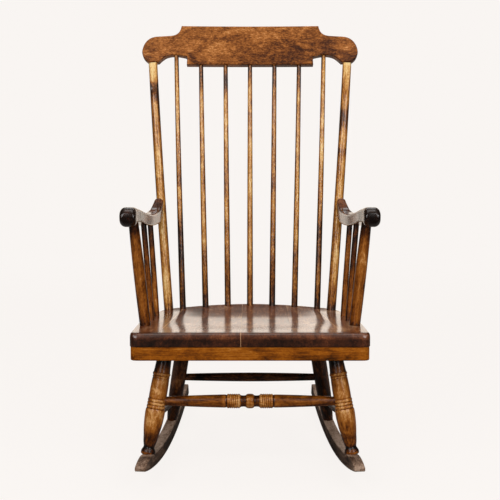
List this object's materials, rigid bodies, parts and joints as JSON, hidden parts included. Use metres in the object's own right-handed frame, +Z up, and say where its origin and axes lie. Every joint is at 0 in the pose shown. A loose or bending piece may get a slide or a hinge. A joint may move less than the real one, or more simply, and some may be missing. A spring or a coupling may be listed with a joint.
{
  "type": "rocking chair",
  "caption": "High-backed wooden rocking chair with a bent spindle back under a shaped crest rail, scrolled arms, a saddled board seat, turned legs and curved runners.",
  "frame": {"origin": "on the floor under the middle of the chair's bounding box", "axes": "+Z up, the sitter looks towards -Y, +X is to the right for someone looking at the chair's front"},
  "size_m": [0.605, 0.7032, 1.1028],
  "materials": {
    "seat_wood": "dark stain under a high gloss varnish",
    "rail_wood": "golden stain, satin varnish",
    "crest_wood": "reddish brown stain, satin varnish",
    "back_wood": "golden brown stain, satin varnish",
    "arm_wood": "nearly black stain under a high gloss varnish",
    "turned_wood": "brown stain, satin varnish",
    "dark_wood": "very dark stain, satin varnish",
    "runner_wood": "brown stain worn dull, greyish on top"
  },
  "bodies": {
    "root": {"seat_board_1": "seat_wood", "seat_board_2": "seat_wood", "seat_board_3": "seat_wood", "seat_board_4": "seat_wood", "seat_front_rail": "rail_wood", "crest_rail": "crest_wood", "back_spindle_1": "back_wood", "back_spindle_2": "back_wood", "back_spindle_3": "back_wood", "back_spindle_4": "back_wood", "back_spindle_5": "back_wood", "back_spindle_6": "back_wood", "back_spindle_7": "back_wood", "back_post_left": "back_wood", "back_post_right": "back_wood", "arm_left": "arm_wood", "arm_right": "arm_wood", "arm_dowel_left": "back_wood", "arm_dowel_right": "back_wood", "arm_post_left": "turned_wood", "arm_post_right": "turned_wood", "arm_spindle_front_left": "turned_wood", "arm_spindle_front_right": "turned_wood", "arm_spindle_rear_left": "turned_wood", "arm_spindle_rear_right": "turned_wood", "front_leg_left": "turned_wood", "front_leg_right": "turned_wood", "rear_leg_left": "dark_wood", "rear_leg_right": "dark_wood", "side_stretcher_left": "dark_wood", "side_stretcher_right": "dark_wood", "front_stretcher": "turned_wood", "rear_stretcher": "dark_wood", "runner_left": "runner_wood", "runner_right": "runner_wood", "runner_peg_front_left": "turned_wood", "runner_peg_front_right": "turned_wood", "runner_peg_rear_left": "turned_wood", "runner_peg_rear_right": "turned_wood"}
  },
  "joints": []
}
